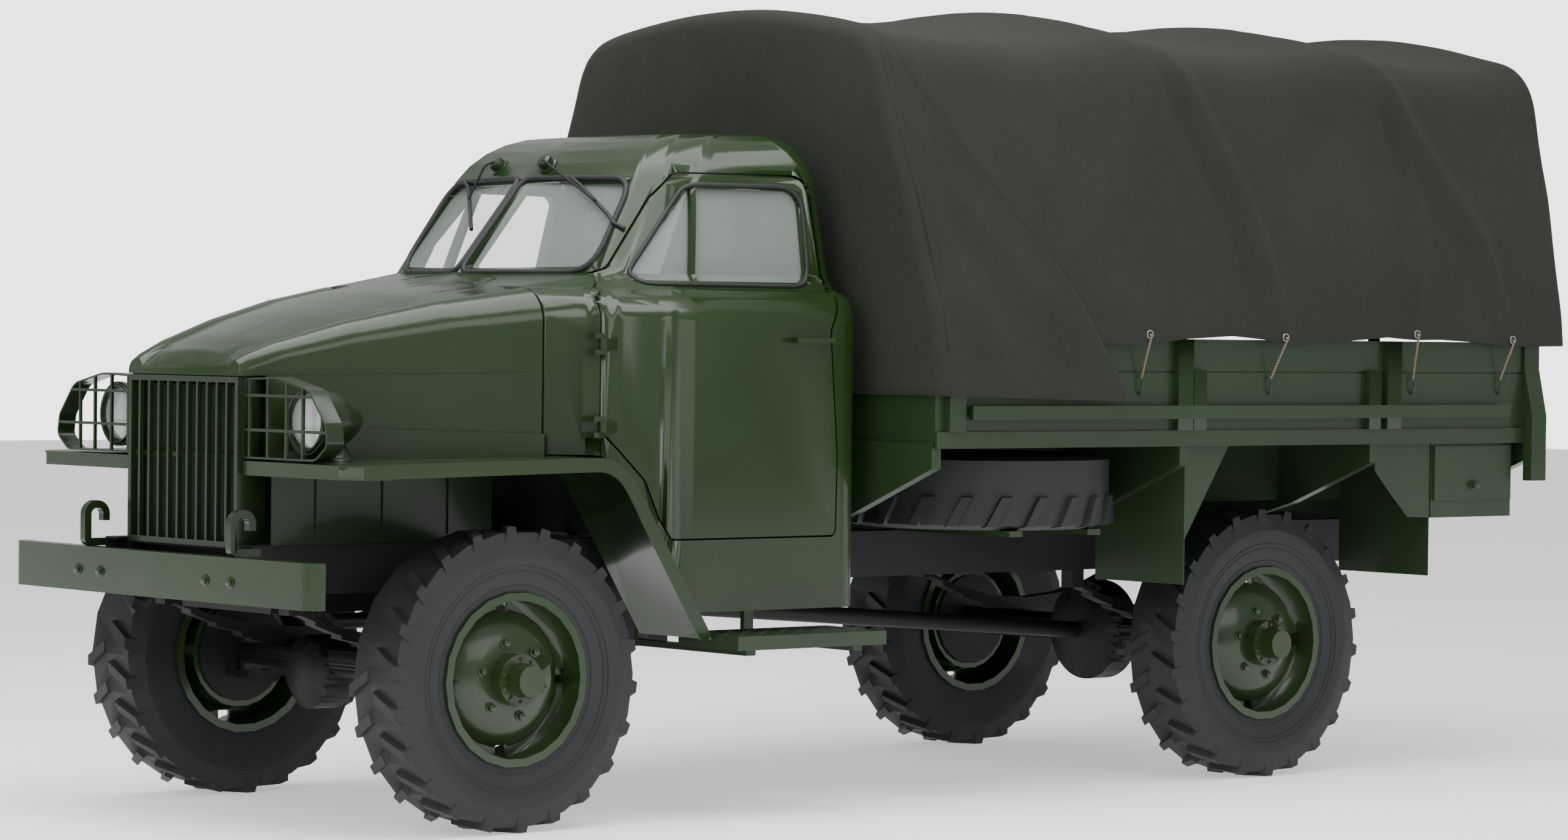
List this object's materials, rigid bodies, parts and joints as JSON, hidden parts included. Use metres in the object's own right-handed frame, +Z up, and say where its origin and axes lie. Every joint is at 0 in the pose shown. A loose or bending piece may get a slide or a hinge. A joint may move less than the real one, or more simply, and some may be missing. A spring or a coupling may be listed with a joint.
{
  "type": "cargo truck",
  "caption": "Light four-wheel-drive military cargo truck with a bonneted cab, flatbed with drop tailgate, canvas canopy on bows and a spare wheel",
  "frame": {"origin": "on the ground under the middle of the vehicle's bounding box", "axes": "+X forward along the vehicle, +Y to its left, +Z up"},
  "size_m": [5.3247, 2.3, 2.6984],
  "materials": {
    "body_paint": "satin",
    "grille_paint": "satin",
    "wheel_paint": "satin",
    "chassis_black": "matte",
    "bow_steel": "satin",
    "tyre_rubber": "matte",
    "window_glass": "polished",
    "lens_glass": "polished",
    "canvas": "matte",
    "seat_trim": "satin",
    "cab_plastic": "matte"
  },
  "bodies": {
    "chassis": {"cab_shell": "body_paint", "engine_bay_sides": "body_paint", "front_fenders": "body_paint", "bed_bearers": "body_paint", "bed_floor": "body_paint", "bed_front_panel": "body_paint", "bed_posts": "body_paint", "bed_sides": "body_paint", "rear_mudguards": "body_paint", "lockers": "body_paint", "fuel_tank": "body_paint", "splash_panels": "body_paint", "steps": "body_paint", "front_bumper": "body_paint", "grille": "grille_paint", "lamp_guards": "grille_paint", "headlamps": "grille_paint", "spare_carrier": "grille_paint", "tow_hooks": "grille_paint", "rim_spare": "wheel_paint", "chassis_frame": "chassis_black", "front_axle": "chassis_black", "rear_axle": "chassis_black", "leaf_springs": "chassis_black", "transmission": "chassis_black", "exhaust": "chassis_black", "engine_block": "chassis_black", "radiator": "chassis_black", "cab_floor": "chassis_black", "canopy_bows": "bow_steel", "tyre_spare": "tyre_rubber", "cab_glass": "window_glass", "lamp_lenses": "lens_glass", "canopy_roof": "canvas", "canopy_sides": "canvas", "canopy_front": "canvas", "seat_cushions": "seat_trim", "dash_panel": "cab_plastic", "steering_column": "cab_plastic"},
    "hood": {"hood": "body_paint"},
    "door_left": {"door_left": "body_paint", "door_glass_left": "window_glass"},
    "door_right": {"door_right": "body_paint", "door_glass_right": "window_glass"},
    "knuckle_left": {"knuckle_left": "chassis_black"},
    "knuckle_right": {"knuckle_right": "chassis_black"},
    "tie_rod": {"tie_rod": "chassis_black"},
    "wheel_front_left": {"tyre_front_left": "tyre_rubber", "rim_front_left": "wheel_paint"},
    "wheel_front_right": {"tyre_front_right": "tyre_rubber", "rim_front_right": "wheel_paint"},
    "wheel_rear_left": {"tyre_rear_left": "tyre_rubber", "rim_rear_left": "wheel_paint"},
    "wheel_rear_right": {"tyre_rear_right": "tyre_rubber", "rim_rear_right": "wheel_paint"},
    "tailgate": {"tailgate": "body_paint"},
    "locker_lid_left": {"locker_lid_left": "body_paint"},
    "locker_lid_right": {"locker_lid_right": "body_paint"}
  },
  "joints": [
    {"name": "steer_left", "type": "hinge", "parent": "chassis", "child": "knuckle_left", "pos_m": [1.8825, 0.6, 0.475], "axis": [0, 0, 1], "range_deg": [-28, 28]},
    {"name": "steer_right", "type": "hinge", "parent": "chassis", "child": "knuckle_right", "pos_m": [1.8825, -0.6, 0.475], "axis": [0, 0, 1], "range_deg": [-28, 28]},
    {"name": "tie_rod_pivot", "type": "hinge", "parent": "knuckle_left", "child": "tie_rod", "pos_m": [1.6925, 0.6, 0.371], "axis": [0, 0, 1], "range_deg": [-28, 28]},
    {"name": "spin_front_left", "type": "hinge", "parent": "knuckle_left", "child": "wheel_front_left", "pos_m": [1.8825, 0.745, 0.475], "axis": [0, 1, 0], "continuous": true},
    {"name": "spin_front_right", "type": "hinge", "parent": "knuckle_right", "child": "wheel_front_right", "pos_m": [1.8825, -0.745, 0.475], "axis": [0, 1, 0], "continuous": true},
    {"name": "spin_rear_left", "type": "hinge", "parent": "chassis", "child": "wheel_rear_left", "pos_m": [-1.4175, 0.755, 0.475], "axis": [0, 1, 0], "continuous": true},
    {"name": "spin_rear_right", "type": "hinge", "parent": "chassis", "child": "wheel_rear_right", "pos_m": [-1.4175, -0.755, 0.475], "axis": [0, 1, 0], "continuous": true},
    {"name": "door_left_hinge", "type": "hinge", "parent": "chassis", "child": "door_left", "pos_m": [1.5085, 0.792, 1.38], "axis": [0, 0, -1], "range_deg": [0, 65]},
    {"name": "door_right_hinge", "type": "hinge", "parent": "chassis", "child": "door_right", "pos_m": [1.5085, -0.792, 1.38], "axis": [0, 0, 1], "range_deg": [0, 65]},
    {"name": "hood_hinge", "type": "hinge", "parent": "chassis", "child": "hood", "pos_m": [1.6355, 0, 1.738], "axis": [0, -1, 0], "range_deg": [0, 50]},
    {"name": "tailgate_hinge", "type": "hinge", "parent": "chassis", "child": "tailgate", "pos_m": [-2.5848, 0, 1.206], "axis": [0, -1, 0], "range_deg": [0, 90]},
    {"name": "locker_lid_left_hinge", "type": "hinge", "parent": "chassis", "child": "locker_lid_left", "pos_m": [-2.247, 1.092, 0.976], "axis": [-1, 0, 0], "range_deg": [0, 110]},
    {"name": "locker_lid_right_hinge", "type": "hinge", "parent": "chassis", "child": "locker_lid_right", "pos_m": [-2.247, -1.092, 0.976], "axis": [1, 0, 0], "range_deg": [0, 110]}
  ],
  "couplings": [
    {"joint": "steer_right", "follows": "steer_left", "ratio": 1},
    {"joint": "tie_rod_pivot", "follows": "steer_left", "ratio": -1}
  ]
}
